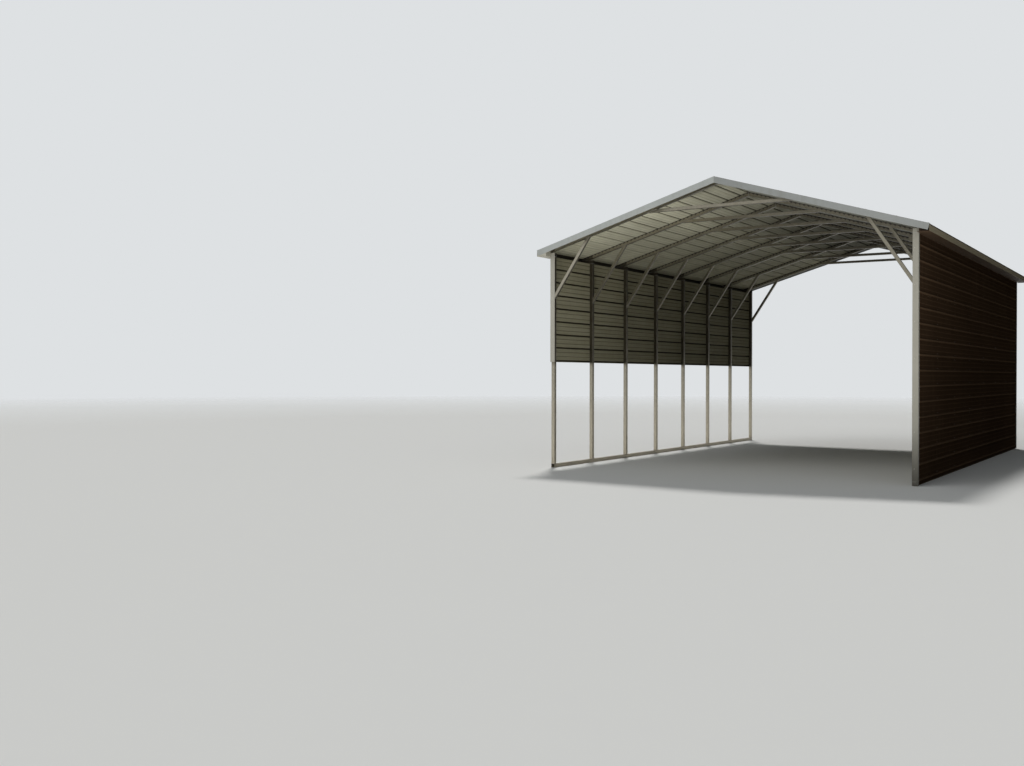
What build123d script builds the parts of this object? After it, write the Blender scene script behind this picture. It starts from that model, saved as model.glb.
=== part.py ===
from build123d import *
import math
import os

os.makedirs("parts", exist_ok=True)

# An open carport on eight welded tube frames: lapped roof sheets laid with their ribs along the
# ridge, one full side wall, one half side wall, both ends open. Millimetres, +Z up, front gable
# at -Y. The origin is on the ground, in the middle of the plan.

# Frames
width = 6096.0            # outside of the left posts to outside of the right posts
bay = 1400.0              # frame to frame
bays = 7
tube = 63.5               # square tube of rails, posts and rafters
tube_wall = 2.1
tube_corner = 5.0         # outside corner radius of that tube
brace_tube = 50.8         # square tube of knee braces and collar ties
brace_wall = 2.1
brace_corner = 4.0
eave_height = 3665.0      # ground to the underside of the boxed eave
eave_reach = 197.0        # outside of a post to the tip of its rafter
eave_toe = 20.0           # height of a rafter's top over its return at the tip
roof_pitch = 3.6 / 12.0   # rise over run
brace_drop = 685.0        # from the eave's underside down to where a knee brace meets its post
brace_run = 645.0         # from the post's inside to where the brace meets the rafter
tie_drop = 345.5          # from the rafters' underside at the ridge to the middle of a collar tie
anchored_frames = (1, 3, 6, 8)
anchor_hole = 14.3        # holes down through the base rails, for ground anchors
anchor_offset = 150.0     # middle of a frame to its anchor holes, on the side nearer the centre
overrun = 60.0            # spare length of tube at each end before it is cut to fit

# Ribbed sheets
sheet = 1.0               # thickness of the sheet metal as modelled
rib_pitch = 228.6
rib_height = 19.0
rib_foot = 44.0           # width of a rib where it leaves the flat
rib_top = 16.0
minor_height = 3.0        # the two low ribs in each flat
minor_foot = 20.0
cover_ribs = 4            # rib pitches that one sheet covers
lap_lip = 7.0             # lip of a lapping sheet on the flat of the sheet below
lap_share = 0.6           # how far down its last flank a lapped sheet reaches
play = 0.3                # clearance between pieces that lap or pass each other
roof_overhang = 160.0     # sheets past the face of the end frames
roof_first_rib = 26.0     # lower edge of the roof sheets to the middle of their first rib
ridge_gap = 30.0          # roof sheets held back from the ridge
left_wall_height = 1828.8
left_first_rib = 24.0     # lower edge of the wall to the middle of its first rib
right_wall_clear = 8.0    # right wall over the ground
right_first_rib = 68.0

# Trims
trim = 1.0                # thickness of the trim metal as modelled
rake_face = 98.0          # face of the rake trim, square to the slope
rake_leg = 50.0           # its leg on the ribs
corner_leg = 60.0         # leg of a corner trim on the wall's ribs
ridge_cap_reach = 180.0   # ridge cap, ridge to edge

# Worked out from the above
half = width / 2.0
post_inside = half - tube
post_middle = half - tube / 2.0
tip = half + eave_reach
angle = math.atan(roof_pitch)
cosine = math.cos(angle)
sine = math.sin(angle)
return_top = eave_height + tube
apex = return_top + eave_toe + tip * roof_pitch      # top of the rafters at the ridge
under = apex - tube / cosine                         # their underside there
frame_length = bays * bay + tube
roof_length = frame_length + 2.0 * roof_overhang
cover = cover_ribs * rib_pitch
flank = (rib_foot - rib_top) / 2.0                   # run of a rib's sloping side
lap_lift = sheet + play                              # how much higher a lapping rib lies
rib_rise = rib_height + lap_lift + sheet             # outside of the highest ribs over the frames
rafter_end = (tip + trim) / cosine                   # slope length to the edge of the roof sheets
wall_outside = half + rib_rise + trim                # outside of the corner trims
left_wall_bottom = eave_height - sheet - left_wall_height
frame_rows = [(number + 1, (number - bays / 2.0) * bay) for number in range(bays + 1)]


def on_slope(along, out):
    """From (distance down the slope, distance off the rafters) to (x, z) on the right slope."""
    return (along * cosine + out * sine, apex - along * sine + out * cosine)


def prism(points, length, middle=0.0):
    """A flat outline given as (x, z) points, carried along Y and centred on the plane y = middle."""
    face = Plane.XZ * Polygon(*points, align=None)
    return Pos(0, middle, 0) * extrude(face, length / 2.0, both=True)


def left(piece):
    """The same piece on the left side."""
    return mirror(piece, Plane.YZ)


def rear(piece):
    """The same piece at the rear end."""
    return mirror(piece, Plane.XZ)


def rounded_section(size, wall, corner):
    """Section of a square tube, for the rails and posts that people stand beside."""
    return RectangleRounded(size, size, corner) - Rectangle(size - 2.0 * wall, size - 2.0 * wall)


def eased_section(size, wall, corner):
    """The same for the tubes overhead, each corner as the flat that touches its arc."""
    flat = (2.0 - math.sqrt(2.0)) * corner
    square = Rectangle(size, size)
    return chamfer(square.vertices(), flat) - Rectangle(size - 2.0 * wall, size - 2.0 * wall)


def straight_tube(section, start, end):
    """A section carried from start to end, both (x, z), in the plane y = 0."""
    line = Vector(end[0] - start[0], 0, end[1] - start[1])
    plane = Plane(origin=(start[0], 0, start[1]), x_dir=(0, 1, 0), z_dir=line)
    return extrude(plane * section, line.length)


def cut_to(piece, outline):
    """What is left of a tube inside an outline given as (x, z) points."""
    return piece & prism(outline, 2.0 * tube)


def base_rail():
    """The right base rail, with holes down through it for anchors beside some of the frames."""
    section = Plane.XZ * rounded_section(tube, tube_wall, tube_corner)
    bar = Pos(post_middle, 0, tube / 2.0) * extrude(section, frame_length / 2.0, both=True)
    drill = extrude(Circle(anchor_hole / 2.0), tube)
    for number, row in frame_rows:
        if number in anchored_frames:
            bar -= Pos(post_middle, row - math.copysign(anchor_offset, row), 0) * drill
    return bar


def post():
    """The right post, from the top of its rail to the eave's underside."""
    section = rounded_section(tube, tube_wall, tube_corner)
    return straight_tube(section, (post_middle, tube), (post_middle, eave_height))


def rafter():
    """The right rafter: mitred plumb at ridge and tip, and the level return welded under its end."""
    section = eased_section(tube, tube_wall, tube_corner)
    middle = tube / 2.0
    meet = (under - return_top) / roof_pitch
    slope = straight_tube(section, on_slope(-overrun, -middle), on_slope(tip / cosine + overrun, -middle))
    outline = [(0, apex), (tip, return_top + eave_toe), (tip, return_top), (meet, return_top), (0, under)]
    arm = straight_tube(section, (post_inside, eave_height + middle), (tip, eave_height + middle))
    return cut_to(slope, outline) + arm


def knee_brace():
    """The right knee brace, cut flush to the post's inside and to the rafter's underside."""
    foot = (post_inside, eave_height - brace_drop)
    head_x = post_inside - brace_run
    head = (head_x, under - roof_pitch * head_x)
    extra = Vector(head[0] - foot[0], head[1] - foot[1]).normalized() * overrun
    bar = straight_tube(eased_section(brace_tube, brace_wall, brace_corner),
                        (foot[0] - extra.X, foot[1] - extra.Y), (head[0] + extra.X, head[1] + extra.Y))
    corner = (post_inside, under - roof_pitch * post_inside)
    return cut_to(bar, [(0, under), corner, (post_inside, 0), (0, 0)])


def collar_tie():
    """The level tie between the undersides of the two rafters."""
    reach = (tie_drop + brace_tube) / roof_pitch
    middle = under - tie_drop
    bar = straight_tube(eased_section(brace_tube, brace_wall, brace_corner), (-reach, middle), (reach, middle))
    return cut_to(bar, [(0, under), (tip, under - roof_pitch * tip), (-tip, under - roof_pitch * tip)])


def rib_line(middle, lift=0.0):
    """One rib as four points (up, out). A lapping rib is lifted, and its far side spread to match."""
    crest = rib_height + lift
    far_foot = middle + rib_foot / 2.0 + lift * flank / rib_height
    return [(middle - rib_foot / 2.0, lift), (middle - rib_top / 2.0, crest),
            (middle + rib_top / 2.0, crest), (far_foot, 0.0)]


def sheet_outline(number, count, extent, first):
    """One sheet of a lapped stack, as (up, out) points. Sheet 0 is the lowest of count sheets.

    Its lowest rib goes over the top rib of the sheet below, and its top rib ends part of the way
    down its far side, under the next sheet. The lowest and the last sheet end in a flat.
    """
    base = first + number * cover
    if number == 0:
        line = [(0.0, 0.0)] + rib_line(base)
    else:
        line = [(base - rib_foot / 2.0 - lap_lip, lap_lift)] + rib_line(base, lap_lift)
    for step in range(1, cover_ribs + 1):
        middle = base + step * rib_pitch
        for share in (2.0 / 3.0, 1.0 / 3.0):
            low = middle - share * rib_pitch
            if low + minor_foot / 2.0 < extent:
                line += [(low - minor_foot / 2.0, 0.0), (low, minor_height), (low + minor_foot / 2.0, 0.0)]
        if middle + rib_foot / 2.0 < extent:
            line += rib_line(middle)
    if number + 1 < count:
        middle = base + cover
        line[-1] = (middle + rib_top / 2.0 + lap_share * flank, (1.0 - lap_share) * rib_height)
    else:
        line.append((extent, 0.0))
    return line + [(up, out + sheet) for up, out in reversed(line)]


def lapped_sheets(extent, first, length, place):
    """The sheets that cover an extent from its low edge up, put where place(up, out) says."""
    count = math.ceil((extent - first - rib_foot) / cover)
    outlines = [sheet_outline(number, count, extent, first) for number in range(count)]
    return [prism([place(up, out) for up, out in outline], length) for outline in outlines]


def roof_sheets():
    extent = rafter_end - ridge_gap
    return lapped_sheets(extent, roof_first_rib, roof_length,
                         lambda up, out: on_slope(rafter_end - up, out))


def wall_sheets(bottom, first):
    extent = eave_height - sheet - bottom
    return lapped_sheets(extent, first, frame_length, lambda up, out: (half + out, bottom + up))


def rake_trim():
    """The angle on the front right gable edge: a face over the end and a leg on the ribs."""
    top = rib_rise + trim
    crest = [on_slope(-top * roof_pitch, top), on_slope(rafter_end, top)]
    face = crest + [on_slope(rafter_end, top - rake_face)]
    face += [on_slope((rake_face - top) * roof_pitch, top - rake_face)]
    leg = crest + [on_slope(rafter_end, rib_rise), on_slope(-rib_rise * roof_pitch, rib_rise)]
    end = -roof_length / 2.0
    return prism(face, trim, end - trim / 2.0) + prism(leg, rake_leg, end + rake_leg / 2.0)


def ridge_cap():
    """The bent cap over the ridge, lying on the rake trims' legs."""
    low = rib_rise + trim
    high = low + trim
    outline = [(0.0, apex + high / cosine), on_slope(ridge_cap_reach, high), on_slope(ridge_cap_reach, low)]
    outline += [(0.0, apex + low / cosine)]
    outline += [(-x, z) for x, z in reversed(outline[1:3])]
    return prism(outline, roof_length)


def eave_trim():
    """The right eave's fascia, plumb on the tips of the rafters and up to the roof sheets' edge."""
    foot = eave_height - sheet
    top = apex - (tip + trim) * roof_pitch
    return prism([(tip, foot), (tip + trim, foot), (tip + trim, top), (tip, top)], roof_length)


def soffit():
    """The flat sheet that closes the right boxed eave from below.

    Between the corner trims it reaches in over the wall's top edge, and at the gables it passes
    outside of them.
    """
    outer = wall_outside + play
    foot = eave_height - sheet
    sheet_out = prism([(outer, foot), (tip, foot), (tip, eave_height), (outer, eave_height)], roof_length)
    strip = [(half, foot), (outer, foot), (outer, eave_height), (half, eave_height)]
    return sheet_out + prism(strip, frame_length - 2.0 * play)


def corner_trim(bottom):
    """The front right angle at a wall's end: a leg on the wall's ribs, up to the soffit, and a
    face over the post and the wall's edge, up to the top of the eave's return."""
    end = -frame_length / 2.0
    face = Pos(wall_outside, end) * Rectangle(wall_outside - post_inside, trim, align=(Align.MAX, Align.MAX))
    leg = Pos(wall_outside, end - trim) * Rectangle(trim, corner_leg + trim, align=(Align.MAX, Align.MIN))
    piece = extrude(face, return_top - bottom) + extrude(leg, eave_height - sheet - bottom)
    return Pos(0, 0, bottom) * piece


def eave_end_trim():
    """The short face over the end of the front right return, outside of the corner trim."""
    inside = wall_outside + play
    outline = [(inside, eave_height), (tip, eave_height), (tip, return_top), (inside, return_top)]
    return prism(outline, trim, -(frame_length + trim) / 2.0)


front_right_rake = rake_trim()
right_roof = roof_sheets()
left_corner = left(corner_trim(left_wall_bottom))
right_corner = corner_trim(right_wall_clear)
right_eave_end = eave_end_trim()
nodes = {
    "base_rails": [left(base_rail()), base_rail()],
    "left_wall": [left(piece) for piece in wall_sheets(left_wall_bottom, left_first_rib)],
    "right_wall": wall_sheets(right_wall_clear, right_first_rib),
    "left_roof": [left(piece) for piece in right_roof],
    "right_roof": right_roof,
    "ridge_cap": [ridge_cap()],
    "front_left_rake_trim": [left(front_right_rake)],
    "front_right_rake_trim": [front_right_rake],
    "rear_left_rake_trim": [rear(left(front_right_rake))],
    "rear_right_rake_trim": [rear(front_right_rake)],
    "eave_trims": [left(eave_trim()), eave_trim()],
    "soffits": [left(soffit()), soffit()],
    "left_corner_trims": [left_corner, rear(left_corner)],
    "right_corner_trims": [right_corner, rear(right_corner)],
    "left_eave_end_trims": [left(right_eave_end), rear(left(right_eave_end))],
    "right_eave_end_trims": [right_eave_end, rear(right_eave_end)],
}

members = {
    "posts": [left(post()), post()],
    "left_rafter": [left(rafter())],
    "right_rafter": [rafter()],
    "braces": [left(knee_brace()), knee_brace(), collar_tie()],
}
for number, row in frame_rows:
    for member, pieces in members.items():
        nodes[f"frame_{number}_{member}"] = [Pos(0, row, 0) * piece for piece in pieces]

for name, pieces in nodes.items():
    export_step(Compound(children=pieces) if len(pieces) > 1 else pieces[0], f"parts/{name}.step")
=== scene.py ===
# %% [markdown]
# # An open carport on eight tube frames
#
# The carport is a row of welded square-tube frames under a low gable roof of ribbed steel sheet.
# The sheets lie with their ribs along the ridge. One side has a full wall of the same sheet, the
# other a half wall that hangs from the eave, and both ends are open.
#
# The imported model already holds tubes, sheets and trims. This script gives them their finishes and
# adds what is too small for it, screws and weld beads, and two thin plates at one eave.
#
# The frame is loaded once, and everything after it takes its places from it.

# %% Load the frame
import math

import bpy
import numpy as np
from mathutils import Matrix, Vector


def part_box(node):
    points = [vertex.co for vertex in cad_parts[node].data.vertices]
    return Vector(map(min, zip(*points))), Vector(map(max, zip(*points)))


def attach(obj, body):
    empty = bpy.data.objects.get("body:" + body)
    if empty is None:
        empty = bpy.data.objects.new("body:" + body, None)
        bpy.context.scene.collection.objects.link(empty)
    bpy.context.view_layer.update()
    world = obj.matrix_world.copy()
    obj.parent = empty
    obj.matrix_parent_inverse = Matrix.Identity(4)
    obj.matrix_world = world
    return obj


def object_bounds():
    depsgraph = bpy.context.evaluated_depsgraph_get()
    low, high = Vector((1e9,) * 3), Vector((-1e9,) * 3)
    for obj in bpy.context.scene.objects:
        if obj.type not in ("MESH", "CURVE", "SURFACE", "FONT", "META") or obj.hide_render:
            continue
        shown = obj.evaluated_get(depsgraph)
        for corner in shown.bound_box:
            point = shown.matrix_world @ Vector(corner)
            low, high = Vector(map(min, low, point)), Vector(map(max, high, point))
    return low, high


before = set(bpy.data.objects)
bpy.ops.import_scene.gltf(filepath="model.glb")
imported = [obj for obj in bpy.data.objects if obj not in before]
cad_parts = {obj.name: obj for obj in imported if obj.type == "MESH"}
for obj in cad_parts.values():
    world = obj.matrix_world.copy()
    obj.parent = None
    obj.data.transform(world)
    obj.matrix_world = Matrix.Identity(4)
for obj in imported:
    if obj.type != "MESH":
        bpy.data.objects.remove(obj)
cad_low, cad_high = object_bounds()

print("carport, metres:", [round(high - low, 3) for low, high in zip(cad_low, cad_high)])

# %% [markdown]
# ## Camera
#
# The picture was taken from in front of the carport and to its right, at about chest height.
# Known points of the frame were matched to where they show in the picture. Place, turn and lens
# came out of a least squares fit, so every piece falls where it should.
#
# Blender's camera looks along its own -Z with +Y up, so its axes are worked out as three
# directions and written straight into its matrix.

# %% Camera
camera_place = (6.548, -21.445, 1.583)
yaw, pitch, roll = np.radians((-32.22, -0.344, 0.06))
picture_width = 1024
focal_pixels = 1096.94

forward = np.array([math.sin(yaw) * math.cos(pitch), math.cos(yaw) * math.cos(pitch), math.sin(pitch)])
level_right = np.array([math.cos(yaw), -math.sin(yaw), 0.0])
level_up = np.cross(level_right, forward)
right = math.cos(roll) * level_right + math.sin(roll) * level_up
up = math.cos(roll) * level_up - math.sin(roll) * level_right

camera_data = bpy.data.cameras.new("camera")
camera_data.sensor_width = 36.0
camera_data.lens = focal_pixels / picture_width * camera_data.sensor_width
camera_data.clip_end = 500.0
camera = bpy.data.objects.new("camera", camera_data)
turn = np.identity(4)
turn[:3, 0], turn[:3, 1], turn[:3, 2], turn[:3, 3] = right, up, -forward, camera_place
camera.matrix_world = Matrix(turn)
bpy.context.scene.collection.objects.link(camera)
bpy.context.scene.camera = camera
bpy.context.scene.view_settings.view_transform = "Standard"
print("lens, mm:", round(camera_data.lens, 2))

# %% [markdown]
# ## Helpers for shaders
#
# A material is a small network of nodes, its tree. A few short functions place a node, fill its
# sockets and hand back its result. A socket takes either a plain value or the result of another
# node. The functions all add to one tree, the one that was started last.

# %% Shader helpers
def start_tree(started):
    """Empties a node tree. From here on the helpers add their nodes to it."""
    global tree
    tree = started
    tree.nodes.clear()


def put(kind, fill=None, **settings):
    """Adds a shader node, sets its properties, and fills its inputs with values or with links."""
    made = tree.nodes.new("ShaderNode" + kind)
    for name, value in settings.items():
        setattr(made, name, value)
    for name, value in (fill or {}).items():
        if isinstance(value, bpy.types.NodeSocket):
            tree.links.new(value, made.inputs[name])
        else:
            made.inputs[name].default_value = value
    return made


def calc(operation, *values, clamp=False):
    """The result of one Math node."""
    return put("Math", dict(enumerate(values)), operation=operation, use_clamp=clamp).outputs[0]


def product(first, *others):
    """Values multiplied together."""
    for other in others:
        first = calc("MULTIPLY", first, other)
    return first


def vector_calc(operation, *values):
    """The result of one Vector Math node: a number for a dot product, and otherwise a vector."""
    made = put("VectorMath", dict(enumerate(values)), operation=operation)
    return made.outputs["Value" if operation in ("DOT_PRODUCT", "LENGTH") else "Vector"]


def axes_of(vector):
    """The parts of a vector, by the names X, Y and Z."""
    return put("SeparateXYZ", {0: vector}).outputs


def scaled(colour, factor):
    """A colour made lighter or darker by a factor around one."""
    return put("VectorMath", {0: colour, "Scale": factor}, operation="SCALE").outputs[0]


def remap(value, low, high, to_low=0.0, to_high=1.0):
    """A value moved from one range to another and held inside the new one."""
    fill = {"Value": value, "From Min": low, "From Max": high, "To Min": to_low, "To Max": to_high}
    return put("MapRange", fill).outputs["Result"]


def mix(share, first, second):
    """Two colours mixed by a share from 0 to 1."""
    return put("Mix", {0: share, 6: first, 7: second}, data_type="RGBA").outputs[2]


def layered(colour, *coats):
    """A colour under coats from the lowest up. Each coat is a share from 0 to 1 and a colour."""
    for share, coat in coats:
        colour = mix(share, colour, coat)
    return colour


def noise(place, per_metre, detail=3.0, rough=0.5):
    """Smooth noise around one half, with about this many blobs to the metre."""
    fill = {"Vector": place, "Scale": per_metre, "Detail": detail, "Roughness": rough}
    return put("TexNoise", fill).outputs["Fac"]


def shade(red, green, blue):
    """A colour for a shader, from the values 0 to 255 that a picture shows."""
    steps = np.array([red, green, blue]) / 255.0
    linear = np.where(steps <= 0.04045, steps / 12.92, ((steps + 0.055) / 1.055) ** 2.4)
    return (*(float(part) for part in linear), 1.0)


def start_material(name):
    """A new material, whose tree is started."""
    material = bpy.data.materials.new(name)
    material.use_nodes = True
    start_tree(material.node_tree)
    return material


print("mid grey 128 is", round(shade(128, 128, 128)[0], 3), "in the shader")

# %% [markdown]
# ## Floor
#
# The carport stands on a plain pale floor. A square plane would show its far edge against the
# background. Here the floor is a wide disc whose material turns clear towards the rim, so it
# melts into the background and no horizon line cuts through the picture.

# %% Mesh helpers and the floor
def grid_faces(rows, columns, wrap_rows=False, wrap_columns=False):
    """Corner numbers of the quads between the points of a grid that is numbered row by row."""
    row = np.arange(rows if wrap_rows else rows - 1)[:, None]
    column = np.arange(columns if wrap_columns else columns - 1)[None, :]
    row_after, column_after = (row + 1) % rows, (column + 1) % columns
    corners = [row * columns + column, row * columns + column_after,
               row_after * columns + column_after, row_after * columns + column]
    return np.stack(np.broadcast_arrays(*corners), axis=-1).reshape(-1, 4)


def make_object(name, points, face_sets, material, smooth=False):
    """An object at the origin from an (n, 3) array of points and arrays of face corners.

    Each array in face_sets has one row per face, so all its faces have the same number of corners.
    """
    corners = np.concatenate([faces.ravel() for faces in face_sets]).astype(np.int32)
    sizes = np.concatenate([np.full(len(faces), faces.shape[1]) for faces in face_sets])
    starts = (np.cumsum(sizes) - sizes).astype(np.int32)
    mesh = bpy.data.meshes.new(name)
    mesh.vertices.add(len(points))
    mesh.vertices.foreach_set("co", points.astype(np.float32).ravel())
    mesh.loops.add(len(corners))
    mesh.loops.foreach_set("vertex_index", corners)
    mesh.polygons.add(len(starts))
    mesh.polygons.foreach_set("loop_start", starts)
    mesh.polygons.foreach_set("use_smooth", np.full(len(starts), smooth))
    mesh.update(calc_edges=True)
    mesh.validate()
    mesh.materials.append(material)
    made = bpy.data.objects.new(name, mesh)
    bpy.context.scene.collection.objects.link(made)
    return made


def around(radius, turn, height):
    """Points (r cos t, r sin t, z) from values or arrays that fit each other."""
    return np.stack(np.broadcast_arrays(radius * np.cos(turn), radius * np.sin(turn), height), axis=-1)


floor_reach, clear_from, clear_to = 90.0, 24.0, 70.0
rings, spokes = 24, 96
background = shade(222, 225, 227)


def shown():
    """One for what the camera sees, straight, in shiny metal or through glass. Zero for soft light."""
    rays = put("LightPath").outputs
    mirrored = calc("MAXIMUM", rays["Is Glossy Ray"], rays["Is Transmission Ray"])
    return calc("MAXIMUM", rays["Is Camera Ray"], mirrored)


def floor_material():
    material = start_material("pale_floor")
    place = put("TexCoord").outputs["Object"]
    far = remap(vector_calc("LENGTH", place), clear_from, clear_to)
    tone = mix(shown(), shade(136, 134, 128), shade(224, 223, 219))
    solid = put("BsdfDiffuse", {"Color": tone}).outputs[0]
    clear = put("BsdfTransparent").outputs[0]
    both = put("MixShader", {0: far, 1: solid, 2: clear}).outputs[0]
    put("OutputMaterial", {"Surface": both})
    return material


ring_share = np.linspace(0.0, 1.0, rings + 1)[1:, None] ** 2
ring_turn = np.linspace(0.0, 2.0 * np.pi, spokes, endpoint=False)[None, :]
floor_points = around(floor_reach * ring_share, ring_turn, 0.0).reshape(-1, 3)
floor_faces = grid_faces(rings, spokes, wrap_columns=True)[:, ::-1]
floor = make_object("floor", floor_points, [floor_faces, np.arange(spokes)[None, :]], floor_material())
print("floor faces:", len(floor.data.polygons))

# %% [markdown]
# ## Light
#
# In the picture the sun stands high behind the carport, so its open front is in shade. What lights
# it is the sky in front and, from below, the bright floor there. One sun from behind does the
# first, and a very wide and weak one from the front stands for that part of the sky. Two low panels
# on the floor, facing up, make it brighter in front: the wide one lets the underside of the roof
# fade from front to rear, and the small one does the same for the outside of the full wall. The
# levels are low enough that a colour renders about as it is written.
#
# The soft light of the sky is stronger from the front than from behind. The camera sees an even,
# paler background instead, chosen by the kind of ray. The floor is pale for the camera too, but
# gives back less light than it shows, or the inside would be as bright at the rear as in front.

# %% Light
world = bpy.data.worlds.new("open_shade")
world.use_nodes = True
bpy.context.scene.world = world
start_tree(world.node_tree)
brightest_way = (-0.25, -0.93, 0.28)
dim_sky, bright_sky = (0.05, 0.055, 0.055, 1.0), (0.40, 0.425, 0.45, 1.0)
towards = put("TexCoord").outputs["Generated"]
frontal = remap(vector_calc("DOT_PRODUCT", towards, brightest_way), -0.55, 0.9)
sky_colour = mix(frontal, dim_sky, bright_sky)
sky = put("Background", {"Color": sky_colour, "Strength": 1.0}).outputs[0]
seen = put("Background", {"Color": background, "Strength": 1.0}).outputs[0]
put("OutputWorld", {"Surface": put("MixShader", {0: shown(), 1: sky, 2: seen}).outputs[0]})
panel_height = 0.03


def add_lamp(name, kind, about_x, about_z, **settings):
    """A lamp turned by two angles in degrees. Shiny metal doesn't mirror it."""
    data = bpy.data.lights.new(name, kind)
    for setting, value in settings.items():
        setattr(data, setting, value)
    lamp = bpy.data.objects.new(name, data)
    lamp.rotation_euler = (math.radians(about_x), 0.0, math.radians(about_z))
    lamp.visible_glossy = False
    bpy.context.scene.collection.objects.link(lamp)
    return lamp


def soft_sun(name, azimuth, height, strength, spread):
    """A sun whose light comes from a compass azimuth (0 is the front) and a height, in degrees."""
    add_lamp(name, "SUN", 90.0 - height, azimuth, energy=strength, angle=math.radians(spread))


def floor_panel(name, middle, width, depth, power):
    """An area lamp that lies just over the floor and shines up. The camera doesn't see it."""
    lamp = add_lamp(name, "AREA", 180.0, 0.0, shape="RECTANGLE", size=width, size_y=depth, energy=power)
    lamp.location = (*middle, panel_height)
    lamp.visible_camera = False


soft_sun("high_sun", azimuth=-154.0, height=62.0, strength=1.7, spread=8.0)
soft_sun("front_sky", azimuth=-30.0, height=24.0, strength=0.62, spread=60.0)
floor_panel("front_floor", middle=(-0.6, -8.9), width=12.0, depth=4.0, power=490.0)
floor_panel("right_floor", middle=(6.4, -8.4), width=4.0, depth=4.0, power=190.0)

# %% [markdown]
# **Dark card.** Shiny tube in an even surrounding looks flat. With a dark card beside it, one side
# of each tube mirrors the card and stays dark. The card here is a curved screen behind the carport
# and to its right. The camera doesn't see it, and it throws no shadow, but it also keeps the soft
# light off the rear of the full wall. It hangs clear of the floor, or its foot would draw a line.

# %% Dark card
card_radius, card_low, card_high = 14.0, 2.2, 13.0
card_turn = np.radians(np.linspace(-35.0, 91.0, 25))


def dark_card():
    """Part of an upright cylinder that soft light and shiny metal see, and the camera doesn't."""
    material = start_material("dark_card")
    dull = put("BsdfDiffuse", {"Color": shade(52, 52, 45)}).outputs[0]
    put("OutputMaterial", {"Surface": dull})
    turn, height = np.meshgrid(card_turn, [card_low, card_high], indexing="ij")
    points = around(card_radius, turn, height).reshape(-1, 3)
    card = make_object("dark_card", points, [grid_faces(len(card_turn), 2)], material)
    card.visible_camera = card.visible_shadow = card.visible_transmission = False
    return card


print("card faces:", len(dark_card().data.polygons))

# %% [markdown]
# ## Shared effects
#
# Every finish on the carport has aged in the same weather, so the same few effects come back in
# each material: blotches, rain marks, settled dust, worn edges and the slow waves of thin sheet.
# Each effect is a node group, built once, with named inputs. A group hands out only masks, values
# or normals, and the material decides what colour or roughness they stand for.
#
# Patterns read object coordinates in metres. All objects keep their origin on the floor in the
# middle of the plan, so a mark has its real size and sits in the same place on every piece.

# %% A helper for groups
def node_group(**inputs):
    """Turns a function that makes nodes into a node group with the function's name.

    Inputs are given with a value, or with None for a vector that is always linked. The function
    takes the input sockets and returns the results that the group hands out, by name.
    """
    def build(nodes_of):
        start_tree(bpy.data.node_groups.new(nodes_of.__name__, "ShaderNodeTree"))
        for label, value in inputs.items():
            kind = "NodeSocketFloat" if isinstance(value, float) else "NodeSocketVector"
            socket = tree.interface.new_socket(label, in_out="INPUT", socket_type=kind)
            if value is not None:
                socket.default_value = value
        results = nodes_of(tree.nodes.new("NodeGroupInput").outputs)
        for label, result in results.items():
            kind = "NodeSocketVector" if result.type == "VECTOR" else "NodeSocketFloat"
            tree.interface.new_socket(label, in_out="OUTPUT", socket_type=kind)
        wanted = tree.nodes.new("NodeGroupOutput").inputs
        for label, result in results.items():
            tree.links.new(result, wanted[label])
        print("group:", tree.name, "gives", *results)
        return tree
    return build


def use(group, **fill):
    """Places a group in a material and returns its outputs."""
    return put("Group", fill, node_tree=group).outputs


# %% [markdown]
# **Blotches.** No coat is quite even. Two noises, one a metre across and one a hand across, make
# a factor around 1 that multiplies a colour.

# %% Blotches
@node_group(Place=None, Strength=0.1)
def blotches(given):
    wide = noise(given["Place"], 0.9, detail=2.0)
    fine = noise(given["Place"], 9.0, detail=5.0, rough=0.65)
    both = calc("MULTIPLY_ADD", wide, 0.6, product(fine, 0.4))
    swing = product(calc("SUBTRACT", both, 0.5), product(given["Strength"], 4.0))
    return {"Factor": calc("ADD", swing, 1.0)}

# %% [markdown]
# **Rain marks.** Water runs down a wall in narrow lanes and leaves pale silt or darker tide marks.
# A noise that is squeezed across the lanes and stretched along them gives lanes of uneven width.
# The stretch is an input, in lanes per metre along X, Y and Z, so one group serves walls and roof.

# %% Rain marks
@node_group(Place=None, Lanes=(12.0, 12.0, 0.7), Amount=0.5)
def rain_marks(given):
    lanes = vector_calc("MULTIPLY", given["Place"], given["Lanes"])
    narrow = remap(noise(lanes, 1.0, detail=4.0, rough=0.6), 0.48, 0.72)
    patchy = remap(noise(given["Place"], 0.7, detail=2.0), 0.35, 0.7)
    return {"Mask": product(narrow, patchy, given["Amount"])}

# %% [markdown]
# **Settled dust.** Dust lies on whatever faces up, such as the upper side of each rib on a wall,
# and rain splashes grit onto the lowest hand of anything that stands on the floor. The first part
# comes from the Z of the surface normal, the second from the height.

# %% Settled dust
splash_height = 0.45


@node_group(Place=None, Normal=None, Amount=0.5)
def settled_dust(given):
    uneven = remap(noise(given["Place"], 5.0, detail=6.0, rough=0.7), 0.3, 0.75, 0.35, 1.0)
    lying = remap(axes_of(given["Normal"])["Z"], 0.05, 0.95)
    near = remap(axes_of(given["Place"])["Z"], 0.0, splash_height, 1.0, 0.0)
    splashed = product(calc("POWER", near, 2.2), 0.85)
    amount = product(calc("MAXIMUM", lying, splashed), uneven)
    return {"Mask": calc("MULTIPLY", amount, given["Amount"], clamp=True)}

# %% [markdown]
# **Worn edges.** Edges lose their coat first. The Bevel node gives the normal that the surface
# would have if its edges were rounded. Where that differs from the true normal there is an edge,
# and a noise breaks the line up so that the wear comes and goes.

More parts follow.
